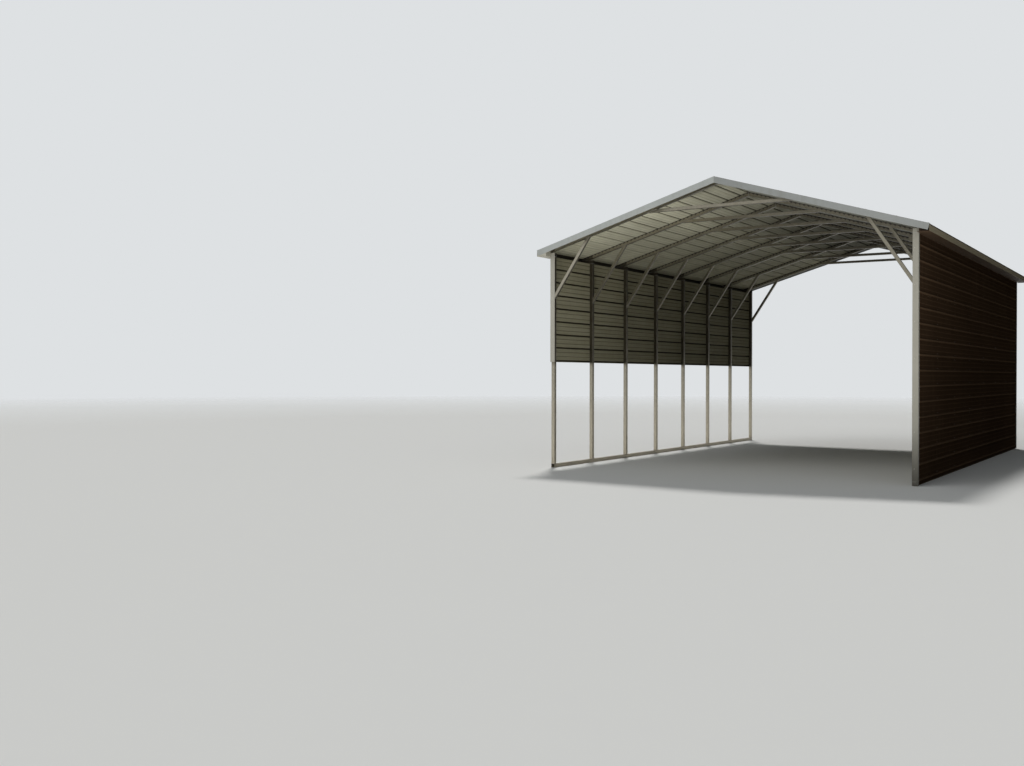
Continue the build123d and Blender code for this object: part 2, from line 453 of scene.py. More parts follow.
# %% Worn edges
@node_group(Place=None, Normal=None, Radius=0.003, Amount=0.5)
def worn_edges(given):
    rounded = put("Bevel", {"Radius": given["Radius"]}, samples=4).outputs[0]
    apart = calc("SUBTRACT", 1.0, vector_calc("DOT_PRODUCT", rounded, given["Normal"]))
    edge = remap(apart, 0.02, 0.16)
    broken = remap(noise(given["Place"], 14.0, detail=5.0, rough=0.7), 0.46, 0.6)
    return {"Mask": product(edge, broken, given["Amount"]), "Round": rounded}

# %% [markdown]
# **Sheet waves.** Thin sheet between its ribs is never flat: it swells and dips by a millimetre or
# two over half a metre, and that bends the light on it more than any roughness does. Long, low
# noise in metres of height feeds a Bump node.

# %% Sheet waves
@node_group(Place=None, Depth=0.0015)
def sheet_waves(given):
    stretched = vector_calc("MULTIPLY", given["Place"], (2.5, 1.1, 2.5))
    long_waves = noise(stretched, 1.0, detail=1.0)
    dents = noise(given["Place"], 7.0, detail=2.0)
    both = calc("MULTIPLY_ADD", dents, 0.12, long_waves)
    return {"Height": product(both, given["Depth"])}

# %% [markdown]
# **Zinc spangle.** Tube that was dipped in zinc shows its crystals as patches of slightly
# different grey, a finger wide. Voronoi cells, each with its own tone, are those crystals. A
# second, finer noise dulls them the way a few winters do.

# %% Zinc spangle
@node_group(Place=None, Crystals=60.0)
def zinc_spangle(given):
    cells = put("TexVoronoi", {"Vector": given["Place"], "Scale": given["Crystals"], "Randomness": 1.0})
    tone = put("SeparateColor", {0: cells.outputs["Color"]}).outputs[0]
    dulled = noise(given["Place"], 3.0, detail=6.0, rough=0.7)
    both = calc("MULTIPLY_ADD", tone, 0.45, product(dulled, 0.55))
    return {"Tone": both, "Height": product(tone, 0.00006)}

# %% [markdown]
# ## Sizes that the finishes need
#
# Some marks sit at fixed places: a painted shadow line under the sheets, painted shade in the hollow
# under each rib. The rib spacing and the roof's slope are those of the imported model, and the rest is
# read off its boxes.

# %% Sizes
rib_pitch = 0.2286
small_pitch, sheet_cover = rib_pitch / 3.0, 4.0 * rib_pitch
roof_pitch = 3.6 / 12.0
slope_length = math.hypot(1.0, roof_pitch)
slope_cos, slope_sin = 1.0 / slope_length, roof_pitch / slope_length
rib_rise, sheet_thick = 0.0213, 0.001
lap_reach = 0.029
first_rib = {"right_wall": 0.068, "left_wall": 0.024, "roof": 0.026}
post_x, post_inside = 3.01625, 2.984

rafter_low, rafter_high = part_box("frame_1_right_rafter")
apex, tip, eave = rafter_high.z, rafter_high.x, rafter_low.z
sheet_end = (tip + sheet_thick) / slope_cos
first_on_slope = sheet_end - first_rib["roof"]
wall_low = {"right_wall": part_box("right_wall")[0].z, "left_wall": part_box("left_wall")[0].z}
sides = (("right", 1.0), ("left", -1.0))
print("ridge", round(apex, 4), "tip", round(tip, 4), "sheets end", round(sheet_end, 4), "down the slope")

# %% [markdown]
# ## Galvanised tube
#
# Rails, posts, rafters, braces and ties are bare galvanised tube. It is a metal, so a side that
# faces the bright front is light and the side next to it, which mirrors the dark card, is dark.
# That contrast is what tells tube from painted strip. The zinc has dulled to a soft grey whose
# roughness follows the crystals. Dust lies on what faces up, grit on the foot of the posts.
#
# Towards their feet the posts turn lighter: a painted reflection of the bright floor, which also
# stands for rain washing the lower, open half of the side. Behind the walls the tube is painted
# with a brown shade. The same painted shade is on every side that looks down, so the braces have a
# light front and a dark lower side. It is also painted from the ridge to the full wall, and more of
# it towards the rear.
#
# Where the roof sheets rest on a rafter, a dark, broken line is painted along the tube's upper
# edge, deeper under every small rib: a painted shadow of the gap under the sheets. Its place is
# the distance below the plane of the rafters' tops.

# %% Galvanised tube
def start_finish(name):
    """A new material, and the coordinates and true normal that every finish starts from."""
    material = start_material(name)
    place = put("TexCoord").outputs["Object"]
    normal = put("NewGeometry").outputs["True Normal"]
    return material, place, normal


def finish_material(fill, height, normal=None):
    """Closes a material: a Principled shader with a bump from a height in metres."""
    bump_fill = {"Height": height, "Distance": 1.0, "Strength": 1.0}
    if normal is not None:
        bump_fill["Normal"] = normal
    bumped = put("Bump", bump_fill).outputs[0]
    shader = put("BsdfPrincipled", {**fill, "Normal": bumped})
    put("OutputMaterial", {"Surface": shader.outputs[0]})


# The last two colours are painted shade, on tube and in the sheets' hollows and boxed eaves. On the posts
# the painted shade starts between the two heights below.
dust_colour, shade_film_colour, hollow_shade_colour = shade(150, 138, 118), shade(66, 59, 45), shade(34, 28, 20)
shade_film_from, shade_film_to = 1.76, 1.86


def under_roof_plane(place):
    """How far a place lies below the plane of the rafters' tops, square to the slope, in metres."""
    axes = axes_of(place)
    aside = product(calc("ABSOLUTE", axes["X"]), -slope_sin)
    return calc("MULTIPLY_ADD", calc("SUBTRACT", apex, axes["Z"]), slope_cos, aside)


def nearest(along, pitch):
    """How far a place is from the nearest of the lines that lie at every whole pitch."""
    share = calc("FRACT", calc("MULTIPLY_ADD", along, 1.0 / pitch, 0.5))
    return product(calc("ABSOLUTE", calc("SUBTRACT", share, 0.5)), pitch)


# A share of painted shade, darker from the ridge to the full wall and towards the rear.
def deep_shade(place):
    """Zero on the open side. From the ridge to the full wall one half in front and one at the rear."""
    axes = axes_of(place)
    aside = remap(axes["X"], -1.3, -0.5)
    return product(aside, remap(axes["Y"], -4.5, 4.5, 0.5, 1.0))


def zinc_tube():
    material, place, normal = start_finish("galvanised_tube")
    zinc = use(zinc_spangle, Place=place, Crystals=55.0)
    edges = use(worn_edges, Place=place, Normal=normal, Radius=0.004, Amount=0.6)
    dust = use(settled_dust, Place=place, Normal=normal, Amount=0.55)["Mask"]
    axes = axes_of(place)
    aside = calc("ABSOLUTE", axes["X"])
    # Lighter towards the feet: a painted reflection of the bright floor, and rain washing as well.
    washed_and_lit_low = remap(axes["Z"], 0.1, 1.7, 1.0, 0.0)
    dull = mix(zinc["Tone"], shade(150, 144, 128), shade(178, 171, 154))
    washed_lit_zinc = mix(zinc["Tone"], shade(184, 175, 155), shade(204, 195, 175))

    # Painted shade: behind the walls, on sides that look down, and towards the ridge and the rear.
    behind = calc("GREATER_THAN", aside, post_inside)
    shaded_by_wall = product(behind, remap(axes["Z"], shade_film_from, shade_film_to))
    shaded_looking_down = remap(axes_of(normal)["Z"], -0.2, -0.5)
    shaded_deep = product(deep_shade(place), 0.75)
    shade_film = calc("MAXIMUM", calc("MAXIMUM", shaded_by_wall, shaded_looking_down), shaded_deep)
    patches = remap(noise(place, 1.6, detail=5.0, rough=0.65), 0.35, 0.7, 0.62, 0.85)

    # A painted shadow line along the rafter's upper edge, under the sheets.
    from_first = calc("SUBTRACT", calc("DIVIDE", aside, slope_cos), first_on_slope)
    under_rib = remap(nearest(from_first, small_pitch), 0.008, 0.02, 0.014, 0.0)
    broken = noise(place, 22.0, detail=4.0, rough=0.7)
    reach = calc("ADD", calc("MULTIPLY_ADD", broken, 0.018, 0.006), under_rib)
    below = under_roof_plane(place)
    gap_shadow = remap(calc("DIVIDE", below, reach), 0.6, 1.3, 0.93, 0.0)

    colour = layered(dull, (washed_and_lit_low, washed_lit_zinc), (product(shade_film, patches), shade_film_colour),
                     (edges["Mask"], shade(196, 194, 188)), (dust, dust_colour), (gap_shadow, shade(30, 26, 19)))
    rough = calc("MULTIPLY_ADD", zinc["Tone"], -0.14, 0.42)
    rough = calc("MULTIPLY_ADD", dust, 0.4, rough, clamp=True)
    metal = remap(calc("MAXIMUM", dust, gap_shadow), 0.0, 0.6, 0.88, 0.05)
    finish_material({"Base Color": colour, "Roughness": rough, "Metallic": metal}, zinc["Height"],
                    normal=edges["Round"])
    return material


tube_material = zinc_tube()
print("material:", tube_material.name, len(tube_material.node_tree.nodes), "nodes")

# %% [markdown]
# ## Ribbed sheet
#
# Roof and walls are steel sheet with baked paint: a very dark brown on the side that the weather
# sees and a thin pale backer coat on the other. One mesh carries both, so the material asks which
# way the surface faces. The dot product of its normal with the sheet's outward direction is above
# zero outside and below zero inside.
#
# Outside, the crests of the wall's ribs are painted lighter, for chalked paint and a painted
# highlight. Inside, each rib's hollow is painted dark as shade, and the small ribs show as faint
# lines of painted shade. On the roof the backer is also painted dark as shade inside the boxed
# eave, and towards the ridge and the rear.
#
# Each sheet is four ribs wide and came from its own stretch of coil, so each has its own slight
# tone. The position up the wall or slope, counted in sheets, is rounded down, and a white noise
# turns that number into the tone.

# %% Ribbed sheet
# Past these distances from the middle the roof's underside is painted dark as shade.
inside_eave = (3.19, 3.235)


def ribbed_sheet(name, outward, uphill, first, lanes, inside, gloss):
    """Dark paint where the normal follows outward, pale backer in two tones where it doesn't."""
    material, place, normal = start_finish(name)
    outside = remap(vector_calc("DOT_PRODUCT", normal, outward), 0.0, 0.08)
    climbed = calc("SUBTRACT", vector_calc("DOT_PRODUCT", place, uphill), first - lap_reach)
    number = calc("MAXIMUM", calc("FLOOR", calc("DIVIDE", climbed, sheet_cover)), 0.0)
    drawn = put("TexWhiteNoise", {"W": number}, noise_dimensions="1D").outputs["Value"]
    own = remap(drawn, 0.0, 1.0, 0.9, 1.1)
    uneven = use(blotches, Place=place, Strength=0.16)["Factor"]
    streaks = use(rain_marks, Place=place, Lanes=lanes, Amount=0.5)["Mask"]
    dust = use(settled_dust, Place=place, Normal=normal, Amount=0.4)["Mask"]

    from_first = calc("SUBTRACT", climbed, lap_reach)
    to_rib = nearest(from_first, rib_pitch)
    paint = layered(shade(58, 44, 32), (streaks, shade(76, 61, 47)), (dust, shade(104, 84, 66)))
    # On the walls the ribs' crests are lighter: chalked paint and a painted highlight.
    if name.endswith("wall"):
        chalk_and_highlight = calc("MAXIMUM", remap(to_rib, 0.007, 0.019, 0.4, 0.0),
                       remap(nearest(from_first, small_pitch), 0.003, 0.009, 0.16, 0.0))
        paint = mix(chalk_and_highlight, paint, shade(112, 92, 72))
    rolled = noise(vector_calc("MULTIPLY", place, (30.0, 0.6, 30.0)), 1.0, detail=3.0)
    soiled = remap(noise(place, 2.2, detail=6.0, rough=0.7), 0.5, 0.8, 0.0, 0.22)
    backer = layered(inside[0], (remap(rolled, 0.35, 0.65), inside[1]), (soiled, shade(128, 121, 102)))
    # Painted shade in the ribs' hollows and small ribs, and inside the boxed eave.
    groove = 0.62
    hollow_shade = remap(to_rib, 0.009, 0.016, 0.94, 0.0)
    if name.endswith("roof"):
        # Painted shade towards the ridge and the rear.
        backer = mix(product(deep_shade(place), 0.7), backer, shade(70, 70, 64))
        groove = 0.32
        hollow_shade = product(hollow_shade, remap(from_first, 0.5, 1.4, 0.35, 1.0))
        aside = calc("ABSOLUTE", axes_of(place)["X"])
        hollow_shade = calc("MAXIMUM", hollow_shade, remap(aside, *inside_eave, 0.0, 0.9))
    minor = remap(nearest(from_first, small_pitch), 0.004, 0.009, groove, 0.0)
    backer = layered(backer, (minor, shade(84, 77, 60)), (hollow_shade, hollow_shade_colour))
    colour = scaled(mix(outside, backer, paint), product(own, uneven))

    rough_out = calc("MULTIPLY_ADD", dust, 0.3, calc("MULTIPLY_ADD", streaks, 0.15, 0.6))
    rough_in = product(calc("SUBTRACT", 1.0, outside), 0.6)
    rough = calc("ADD", product(outside, rough_out), rough_in, clamp=True)
    waves = use(sheet_waves, Place=place, Depth=0.0035)["Height"]
    finish_material({"Base Color": colour, "Roughness": rough, "Specular IOR Level": gloss}, waves)
    return material


wall_lanes, slope_lanes = (14.0, 14.0, 0.5), (0.6, 14.0, 1.5)
upward = (0.0, 0.0, 1.0)
# The first backer is a lighter copy of the coat, a painted highlight, for the left slope and the ridge cap;
# the third is a darker copy, a painted shade, for the right slope.
lit_backer = (shade(186, 183, 160), shade(196, 194, 172))
wall_backer = (shade(146, 142, 118), shade(156, 152, 130))
shaded_backer = (shade(162, 163, 150), shade(172, 173, 161))
lowest_rib = apex * slope_sin - sheet_end + first_rib["roof"]
sheet_materials = {}
for (side, sign), wall_gloss, roof_backer in zip(sides, (0.0, 0.04), (shaded_backer, lit_backer)):
    wall, roof = side + "_wall", side + "_roof"
    sheet_materials[wall] = ribbed_sheet(wall, (sign, 0.0, 0.0), upward, wall_low[wall] + first_rib[wall],
                                         wall_lanes, wall_backer, wall_gloss)
    sheet_materials[roof] = ribbed_sheet(roof, (sign * slope_sin, 0.0, slope_cos),
                                         (-sign * slope_cos, 0.0, slope_sin), lowest_rib, slope_lanes,
                                         roof_backer, 0.05)
print("lowest roof rib's place up the slope:", round(lowest_rib, 3))

# %% [markdown]
# ## Ridge cap
#
# The cap on the ridge is folded from the same coil as the sheets, so it takes the same material
# with its outward direction straight up.

# %% Ridge cap
cap_starts = 4.0
sheet_materials["ridge_cap"] = ribbed_sheet("ridge_cap", upward, upward, cap_starts, slope_lanes,
                                            lit_backer, 0.05)
print("materials:", list(sheet_materials))

# %% [markdown]
# ## Painted trims
#
# Rake, eave and corner trims are flat strip, folded once, in a pale grey paint. Paint on strip is
# smooth and satin. What makes it look real is grime: rain carries dirt down from each edge, dust
# lies on the top legs, and at the folds and cut ends the paint is rubbed through to grey primer.
#
# The soffit and end plates of the boxed eaves are pale on the left, over the open side, and brown
# on the right, over the full wall. One imported piece holds both sides, so the sign of X picks the
# colours. On the right the rake trim, the pale trim and the fascia take darker copies of their paint,
# a painted shade. The fascia is pale outside, and inside the box it is painted dark as shade. The
# pale trim turns darker towards the bottom.

# %% Painted trims
# The fourth, fifth and sixth strips are darker copies of the first three, for the right side: painted
# shade.
pale_strip = (shade(158, 155, 144), shade(126, 120, 104), shade(120, 116, 108))
light_strip = (shade(182, 179, 164), shade(140, 133, 115), shade(120, 116, 108))
grey_strip = (shade(162, 165, 161), shade(128, 126, 115), shade(120, 118, 112))
shaded_strip = (shade(138, 140, 137), shade(114, 112, 102), shade(110, 108, 102))
shaded_pale_strip = (shade(144, 141, 130), shade(116, 110, 95), shade(112, 108, 100))
shaded_warm_strip = (shade(150, 141, 118), shade(120, 111, 92), shade(120, 116, 108))
brown_strip = (shade(66, 52, 39), shade(84, 70, 55), shade(100, 92, 82))


def painted_trim(name, left_side, right_side, dust_amount=0.5, satin=0.45, foot=0.0, inner_shade=0.0):
    """Each side's colours are its paint, its grime and the primer under it.

    Foot darkens the colour towards the bottom. The last argument is the share of painted shade
    on faces that look to the middle.
    """
    material, place, normal = start_finish(name)
    axes = axes_of(place)
    on_right = calc("GREATER_THAN", axes["X"], 0.0)
    paint, grime, bare = (mix(on_right, *pair) for pair in zip(left_side, right_side))
    edges = use(worn_edges, Place=place, Normal=normal, Radius=0.0025, Amount=0.7)
    uneven = use(blotches, Place=place, Strength=0.1)["Factor"]
    streaks = use(rain_marks, Place=place, Lanes=(16.0, 16.0, 1.2), Amount=0.3)["Mask"]
    dust = use(settled_dust, Place=place, Normal=normal, Amount=dust_amount)["Mask"]
    fine = remap(noise(place, 26.0, detail=6.0, rough=0.75), 0.5, 0.75, 0.0, 0.15)
    colour = layered(paint, (streaks, grime), (fine, grime), (edges["Mask"], bare), (dust, dust_colour))
    # Darker towards the bottom.
    if foot:
        colour = mix(remap(axes["Z"], 0.0, 0.85, foot, 0.0), colour, shade(60, 58, 53))
    # Faces that look to the middle, inside the boxed eave, are painted dark as shade.
    if inner_shade:
        inner = calc("LESS_THAN", product(axes_of(normal)["X"], axes["X"]), -1.5)
        colour = mix(product(inner, inner_shade), colour, hollow_shade_colour)
    rough = calc("MULTIPLY_ADD", streaks, 0.2, satin)
    rough = calc("MULTIPLY_ADD", dust, 0.3, rough, clamp=True)
    waves = use(sheet_waves, Place=place, Depth=0.002)["Height"]
    finish_material({"Base Color": scaled(colour, uneven), "Roughness": rough, "Specular IOR Level": 0.2},
                    waves, normal=edges["Round"])
    return material


# On the right the pale trim is a darker copy: painted shade.
pale_trim = painted_trim("pale_trim", pale_strip, shaded_pale_strip, foot=0.7)
# On the right the rake trim is a darker copy: painted shade.
rake_trim = painted_trim("rake_trim", grey_strip, shaded_strip)
# On the right the fascia is a darker copy: painted shade. Its inner faces are painted dark as shade.
fascia = painted_trim("fascia", light_strip, shaded_warm_strip, 0.3, inner_shade=0.95)
eave_strip = painted_trim("eave_strip", light_strip, brown_strip, 0.3, 0.5)
print("materials:", pale_trim.name, rake_trim.name, fascia.name, eave_strip.name)

# %% [markdown]
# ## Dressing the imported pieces
#
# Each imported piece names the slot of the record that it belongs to. The piece's name picks the
# material, and the slots of its object take it. Its shape isn't touched.

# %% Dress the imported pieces
def dress(name):
    if name.startswith("frame_") or name == "base_rails":
        return tube_material
    if name in sheet_materials:
        return sheet_materials[name]
    if name in ("soffits", "right_eave_end_trims"):
        return eave_strip
    if name == "eave_trims":
        return fascia
    return rake_trim if "rake" in name else pale_trim


for name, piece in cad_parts.items():
    for slot in piece.material_slots:
        slot.material = dress(name)
print("dressed:", len(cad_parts), "packed pieces")

# %% [markdown]
# ## End plates of the left boxed eave
#
# Over the open side the boxed eave is closed at the gable line too, by a small pale plate under the
# end of the rake trim. It is thin strip, bent back along the line of the wall to the corner trim,
# so from above it is an L. Its foot lies level on the soffit and its top follows the roof's slope.

# %% Left eave plates
plate_front, plate_thick = cad_high[1] - 0.0066, 0.0008
plate_gap = 0.0005
bent_at, bent_back = 3.0705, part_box("left_corner_trims")[1].y + plate_gap


def eave_plate(name, end):
    """Six corners (x, y) of an L, each once at the foot and once at z = apex - pitch |x| - gap."""
    outer, inner = tip - plate_gap, bent_at + plate_thick
    aside = -np.array([bent_at, outer, outer, inner, inner, bent_at])
    back = plate_front - plate_thick
    depth = end * np.array([plate_front, plate_front, back, back, bent_back, bent_back])
    foot = np.full(6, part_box("soffits")[1].z + plate_gap)
    top = apex + roof_pitch * aside - 4.0 * plate_gap
    points = np.stack([np.tile(aside, 2), np.tile(depth, 2), np.concatenate([foot, top])], axis=-1)
    corner = np.arange(6)
    quads = np.stack([corner, (corner + 1) % 6, (corner + 1) % 6 + 6, corner + 6], axis=-1)
    caps = np.stack([corner[::-1], corner + 6])
    if end > 0:
        quads, caps = quads[:, ::-1], caps[:, ::-1]
    plate = make_object(name, points, [quads, caps], eave_strip)
    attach(plate, "root")
    return plate


for name, end in (("left_front_eave_plate", -1.0), ("left_rear_eave_plate", 1.0)):
    plate = eave_plate(name, end)
    volume = sum(face.center.dot(face.normal) * face.area for face in plate.data.polygons) / 3.0
    print(name, "holds", round(volume * 1e6, 2), "cubic centimetres")

# %% [markdown]
# ## Screws
#
# Sheets and trims hang on self-drilling screws: a hexagon head with a flange, over a washer of
# metal and rubber. There are hundreds, so the shape has only a few dozen faces. It is one grid of
# twelve points around, which give a true hexagon when the radius grows and shrinks every thirty
# degrees, and a few rings from the sheet up to the head.
#
# Screws never sit quite the same, so each copy turns by its own amount. All copies of one kind
# are worked out together, as one array: template point times three axes, plus place.

# %% The screw's shape
screw_around = 12
washer_radius, head_half, head_high = 0.0072, 0.0042, 0.0052


def screw_template():
    """Rings of points: radius and height for the washer, radius times 1/cos at the hexagon's corners."""
    turn = np.arange(screw_around) * 2.0 * np.pi / screw_around
    corner = np.where(np.arange(screw_around) % 2 == 0, 1.0 / math.cos(math.pi / 6.0), 1.0)
    plain = np.ones(screw_around)
    rings = [(washer_radius * plain, 0.0), (washer_radius * 0.96 * plain, 0.0014),
             (head_half * corner, 0.0017), (head_half * 0.97 * corner, head_high)]
    points = np.stack([around(radius, turn, high) for radius, high in rings])
    bands = grid_faces(len(rings), screw_around, wrap_columns=True)
    last = (len(rings) - 1) * screw_around
    caps = np.stack([np.arange(screw_around)[::-1], np.arange(last, last + screw_around)])
    return points.reshape(-1, 3), bands, caps


screw_points, screw_bands, screw_caps = screw_template()
print("screw faces:", len(screw_bands) + len(screw_caps))

# %% Scatter screws
chance = np.random.default_rng(7)


def scatter_screws(name, spots, normal, finish):
    """Copies of the screw at spots, standing along normal, each turned about it by its own angle.

    With n the normal and a, b two directions across it, a point (x, y, z) of the template goes to
    spot + x (a cos t + b sin t) + y (b cos t - a sin t) + z n, for a random turn t. The normal is
    one long and has either no Y or only Y. The finish is a material and a slot, and the slot is not used.
    """
    material, slot = finish
    n = np.array(normal)
    a = np.cross((1.0, 0.0, 0.0) if n[1] else (0.0, 1.0, 0.0), n)
    b = np.cross(n, a)
    turn = chance.uniform(0.0, 2.0 * np.pi, len(spots))[:, None]
    across, along = a * np.cos(turn) + b * np.sin(turn), b * np.cos(turn) - a * np.sin(turn)
    axes = np.stack([across, along, np.broadcast_to(n, spots.shape)], axis=1)
    points = spots[:, None, :] + np.einsum("pk,skx->spx", screw_points, axes)
    shift = (np.arange(len(spots)) * len(screw_points))[:, None, None]
    faces = [(corners[None] + shift).reshape(-1, corners.shape[1]) for corners in (screw_bands, screw_caps)]
    piece = make_object(name, points.reshape(-1, 3), faces, material)
    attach(piece, "root")
    print(name + ":", len(spots))


def every(*axes):
    """All combinations of the given values, as rows."""
    return np.stack(np.meshgrid(*axes, indexing="ij"), axis=-1).reshape(-1, len(axes))


# %% [markdown]
# **Their finish.** The heads are painted to match what they hold. The paint has chipped where the
# driver sat, and a little rust shows there.

# %% Screw finish
def screw_finish(name, paint):
    material, place, normal = start_finish(name)
    chips = remap(noise(place, 160.0, detail=3.0, rough=0.7), 0.56, 0.62)
    edges = use(worn_edges, Place=place, Normal=normal, Radius=0.0008, Amount=0.9)
    worn = calc("MAXIMUM", product(chips, 0.7), edges["Mask"])
    metal = mix(noise(place, 90.0, detail=2.0), shade(128, 122, 112), shade(112, 72, 44))
    colour = mix(worn, paint, metal)
    rough = calc("MULTIPLY_ADD", chips, 0.25, 0.4)
    pits = product(noise(place, 400.0, detail=2.0), 0.00015)
    finish_material({"Base Color": colour, "Roughness": rough, "Metallic": product(worn, 0.5)}, pits)
    return material


brown_screw = (screw_finish("brown_screw", shade(50, 39, 29)), "brown_sheet")
pale_screw = (screw_finish("pale_screw", shade(172, 170, 160)), "pale_trim")
print("screw finishes:", brown_screw[0].name, pale_screw[0].name)

# %% [markdown]
# **Where they sit.** On the walls a screw goes through the flat beside every rib, into each post.
# Where two sheets lap, the rib in the lap has one on both sides. The roof is the same on its
# slope, where a place is a distance down the slope and a distance out of it.

# %% Wall screws
frame_rows = np.array([sum(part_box(f"frame_{number}_posts")[side].y for side in (0, 1)) / 2.0
                       for number in range(1, 9)])
inner_rows = frame_rows[1:-1]
beside_rib, wall_face, wall_top = 0.034, 3.049, 3.645
print("frames at y:", frame_rows.round(3))


def rib_heights(wall):
    """Heights of the ribs' middles: the first, then one pitch after another up to the wall's top."""
    heights = wall_low[wall] + first_rib[wall] + rib_pitch * np.arange(40)
    return heights[heights < wall_top - beside_rib]


wall_ribs = {wall: rib_heights(wall) for wall in wall_low}
for side, sign in sides:
    ribs = wall_ribs[side + "_wall"]
    heights = np.concatenate([ribs + beside_rib, ribs[4::4] - beside_rib])
    spots = every([sign * wall_face], inner_rows, heights)
    scatter_screws(side + "_wall_screws", spots, (sign, 0.0, 0.0), brown_screw)

# %% Roof screws
def on_roof(sign, along, rows, out):
    """Points on a slope: along is the distance down from the ridge line, out stands off the rafters."""
    spots = every(along, rows)
    down = spots[:, 0]
    return np.stack([sign * (down * slope_cos + out * slope_sin), spots[:, 1],
                     apex - down * slope_sin + out * slope_cos], axis=-1)


roof_ribs = first_on_slope - rib_pitch * np.arange(15)
cap_rib, open_ribs = roof_ribs[-1], roof_ribs[:-1]
mid_bays = (frame_rows[:-1] + frame_rows[1:]) / 2.0
for side, sign in sides:
    fixing = np.concatenate([open_ribs[1:] + beside_rib, open_ribs[::4] - beside_rib])
    spots = np.concatenate([on_roof(sign, fixing, frame_rows, sheet_thick),
                            on_roof(sign, open_ribs[4::4], mid_bays, rib_rise)])
    scatter_screws(side + "_roof_screws", spots, (sign * slope_sin, 0.0, slope_cos), brown_screw)
print("rib under the ridge cap at", round(cap_rib, 3))

# %% Trim screws
trim_face = rib_rise + sheet_thick
cap_face = trim_face + sheet_thick
rake_middle = cad_high[1] - 0.026
every_half_bay = np.sort(np.concatenate([frame_rows, mid_bays]))
for side, sign in sides:
    normal = (sign * slope_sin, 0.0, slope_cos)
    on_cap = on_roof(sign, [cap_rib], every_half_bay, cap_face)
    on_rake = on_roof(sign, open_ribs[::2], [-rake_middle, rake_middle], trim_face)
    scatter_screws(side + "_ridge_cap_screws", on_cap, normal, brown_screw)
    scatter_screws(side + "_rake_screws", on_rake, normal, pale_screw)

# %% [markdown]
# **Corner trims and boxed eaves.** A corner trim has screws in its face, into the post, and in its
# leg, on the crests of the wall's ribs. The end plate of a boxed eave has two, into the return.

# %% Corner and eave screws
end_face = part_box("right_corner_trims")[1].y
leg_middle = end_face - 0.032
trim_top, lowest_screw, screw_count = 3.45, {"right": 0.25, "left": 2.02}, {"right": 7, "left": 4}
plate_inner, plate_outer, plate_middle, soffit_middle = 3.11, 3.215, 3.684, 3.16
plate_looks = {"right": (end_face, brown_screw), "left": (plate_front, pale_screw)}
for side, sign in sides:
    crests = wall_ribs[side + "_wall"][::2]
    on_leg = every([sign * (wall_face - sheet_thick + trim_face)], [-leg_middle, leg_middle], crests)
    scatter_screws(side + "_corner_leg_screws", on_leg, (sign, 0.0, 0.0), pale_screw)
    heights = np.linspace(lowest_screw[side], trim_top, screw_count[side])
    plate_face, finish = plate_looks[side]
    on_plate = every([sign * plate_inner, sign * plate_outer], [plate_face], [plate_middle])
    on_face = every([sign * post_x], [end_face], heights)
    for end, turned in (("front", -1.0), ("rear", 1.0)):
        mirror, normal = (1.0, turned, 1.0), (0.0, turned, 0.0)
        scatter_screws(f"{side}_{end}_corner_screws", on_face * mirror, normal, pale_screw)
        scatter_screws(f"{side}_{end}_plate_screws", on_plate * mirror, normal, finish)
    under = every([sign * soffit_middle], every_half_bay, [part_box("soffits")[0].z])
    scatter_screws(side + "_soffit_screws", under, (0.0, 0.0, -1.0), finish)

# %% [markdown]
# ## Weld beads
#
# Post, rafter, brace and tie are welded together in the shop, with a bead around each joint. On
# the real tube that is a rippled ridge a few millimetres wide, dabbed over with silver zinc paint.
#
# A bead follows a rectangle with rounded corners in the plane of the cut. Its middle line is found
# by walking along that outline, and a small circle is carried along it, now a bit wider and now a
# bit narrower, which gives the ripples.

# %% Beads
bead_steps, bead_around, bead_radius = 64, 6, 0.0024
ripple_even, ripple_odd = 0.16, 0.09


def bead_line(half_u, half_v, corner):
    """Points and outward directions of a rounded rectangle, at even steps along its outline."""
    flat_u, flat_v = half_u - corner, half_v - corner
    arc = np.pi / 2.0 * corner
    lengths = np.array([2.0 * flat_v, arc, 2.0 * flat_u, arc] * 2)
    ends = np.cumsum(lengths)
    walked = (np.arange(bead_steps) + 0.5) / bead_steps * ends[-1]
    part = np.searchsorted(ends, walked)
    inside = walked - (ends - lengths)[part]
    quarter, curved = part // 2, part % 2 == 1
    angle = (quarter + np.where(curved, inside / lengths[part], 0.0)) * np.pi / 2.0
    outward = np.stack([np.cos(angle), np.sin(angle)], axis=-1)
    starts = np.array([[half_u, -flat_v], [flat_u, half_v], [-half_u, flat_v], [-flat_u, -half_v]])
    steps = np.array([[0.0, 1.0], [-1.0, 0.0], [0.0, -1.0], [1.0, 0.0]])
    centres = np.array([[flat_u, flat_v], [-flat_u, flat_v], [-flat_u, -flat_v], [flat_u, -flat_v]])
    straight = starts[quarter] + steps[quarter] * inside[:, None]
    bent = centres[quarter] + corner * outward
    return np.where(curved[:, None], bent, straight), outward


def bead(centre, along_u, along_v, half_u, half_v, corner=0.005):
    """A ring of weld around a rounded rectangle: circle of radius r (1 + ripple) carried along it.

    centre, along_u and along_v place the rectangle. The circle's two directions are the outward
    direction of the outline and the normal of its plane.
    """
    flat, outward = bead_line(half_u, half_v, corner)
    middle = np.asarray(centre) + flat[:, :1] * along_u + flat[:, 1:] * along_v
    out = outward[:, :1] * along_u + outward[:, 1:] * along_v
    normal = np.cross(along_u, along_v)
    ripple = ripple_even * np.where(np.arange(bead_steps) % 2 == 0, 1.0, -1.0)
    ripple = ripple + chance.normal(0.0, ripple_odd, bead_steps)
    radius = (bead_radius * (1.0 + ripple))[:, None, None]
    turn = (np.arange(bead_around) * 2.0 * np.pi / bead_around)[None, :, None]
    ring = np.cos(turn) * out[:, None, :] + np.sin(turn) * normal
    return (middle[:, None, :] + radius * ring).reshape(-1, 3)


